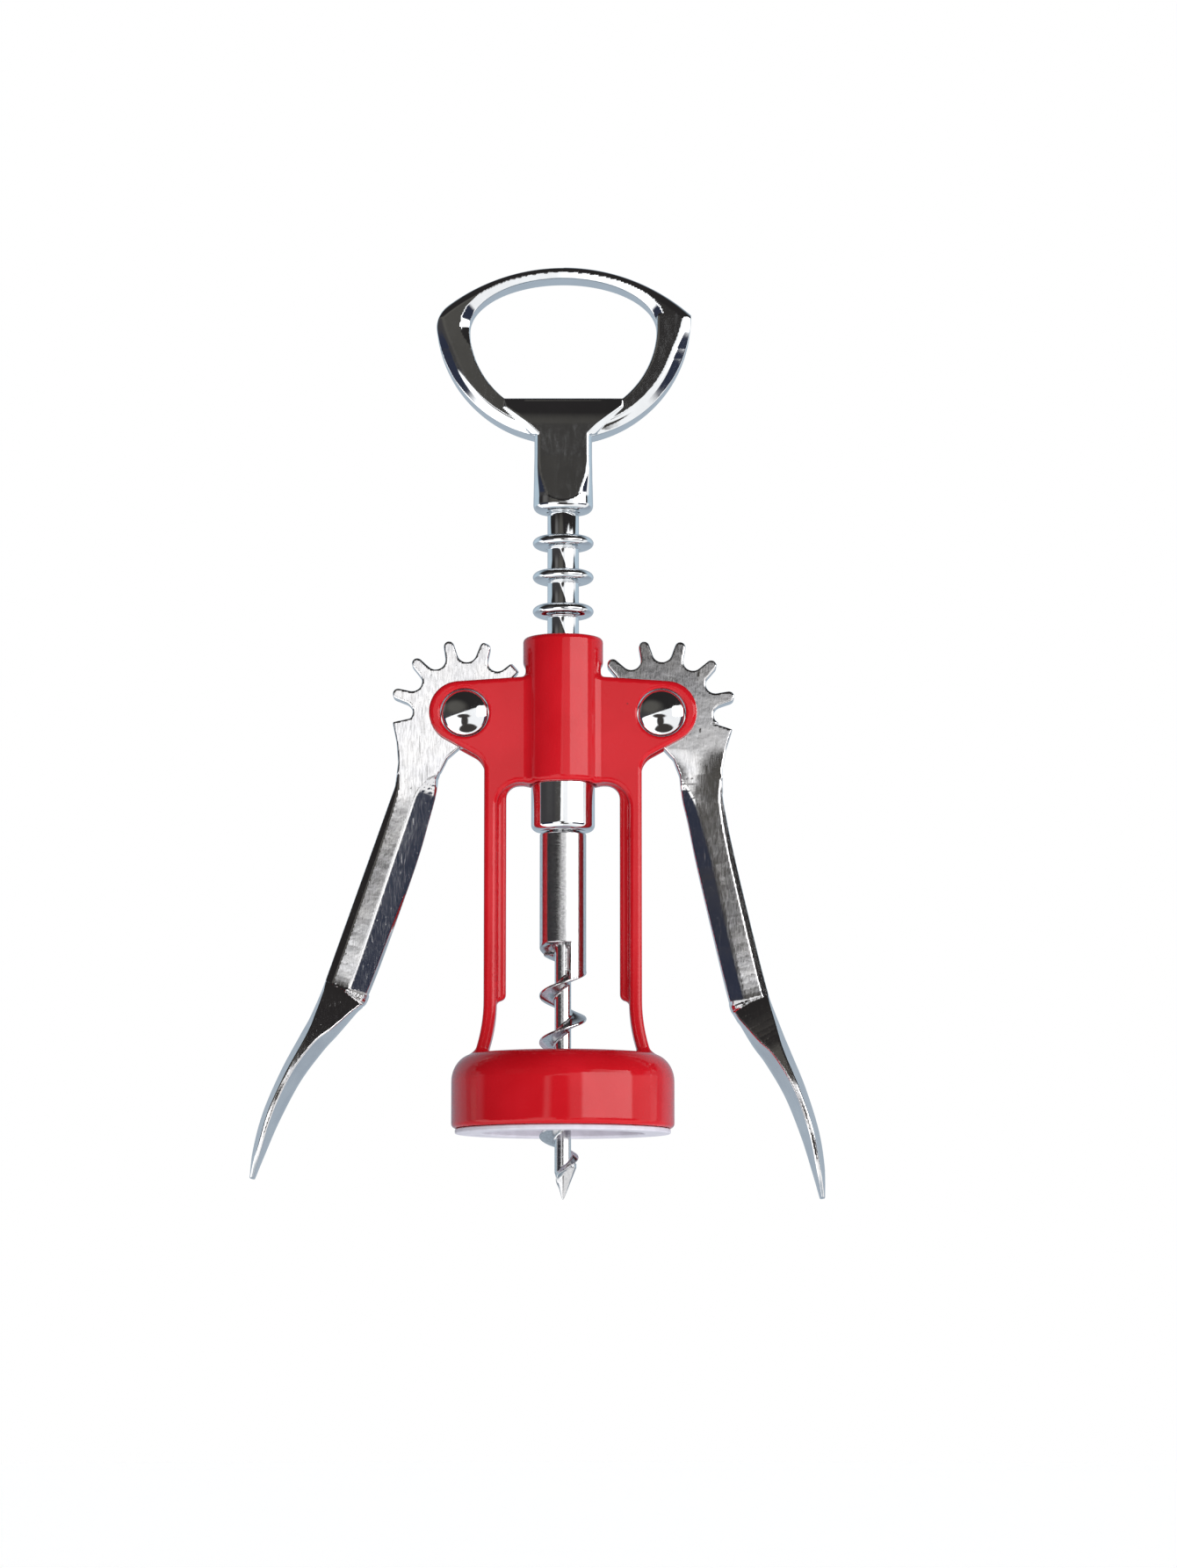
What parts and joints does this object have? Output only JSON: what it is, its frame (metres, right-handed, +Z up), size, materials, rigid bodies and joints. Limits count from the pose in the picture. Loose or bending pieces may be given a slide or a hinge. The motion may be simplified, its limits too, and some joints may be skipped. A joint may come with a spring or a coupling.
{
  "type": "lever corkscrew",
  "caption": "Wing corkscrew: geared arms lift a ringed stem and worm through a bell-footed frame, with a loop handle that opens crown caps.",
  "frame": {"origin": "on the screw's axis, in the plane where the bottle's lip meets the seat inside the bell", "axes": "+Z up along the screw towards the opener handle, +X to the right-hand arm, Y along the pivot pins"},
  "size_m": [0.1081, 0.042, 0.1782],
  "materials": {
    "enamel": "thick glossy red enamel on a casting",
    "liner": "light grey moulded plastic",
    "chrome": "bright chrome plate",
    "nickel": "tumbled, plated casting with faint scratches",
    "steel": "plated steel"
  },
  "bodies": {
    "frame": {"frame_casting": "enamel", "bell_liner": "liner", "left_pivot_pin": "chrome", "right_pivot_pin": "chrome"},
    "collar": {"guide_collar": "chrome"},
    "spindle": {"opener_handle": "chrome", "handle_pin": "steel", "rack_stem": "chrome", "worm_pin": "steel", "worm": "steel"},
    "left_lever": {"left_lever": "nickel"},
    "right_lever": {"right_lever": "nickel"}
  },
  "joints": [
    {"name": "spindle_slide", "type": "slide", "parent": "frame", "child": "collar", "axis": [0, 0, 1], "range_m": [-0.0225, 0.0025]},
    {"name": "spindle_spin", "type": "hinge", "parent": "collar", "child": "spindle", "pos_m": [0, 0, 0], "axis": [0, 0, 1], "continuous": true},
    {"name": "left_lever_hinge", "type": "hinge", "parent": "frame", "child": "left_lever", "pos_m": [-0.01865, 0, 0.0695], "axis": [0, 1, 0], "range_deg": [-12, 103]},
    {"name": "right_lever_hinge", "type": "hinge", "parent": "frame", "child": "right_lever", "pos_m": [0.01865, 0, 0.0695], "axis": [0, -1, 0], "range_deg": [-12, 103]}
  ],
  "couplings": [
    {"joint": "left_lever_hinge", "follows": "spindle_slide", "rad_per_m": -79.33},
    {"joint": "right_lever_hinge", "follows": "spindle_slide", "rad_per_m": -79.33}
  ]
}
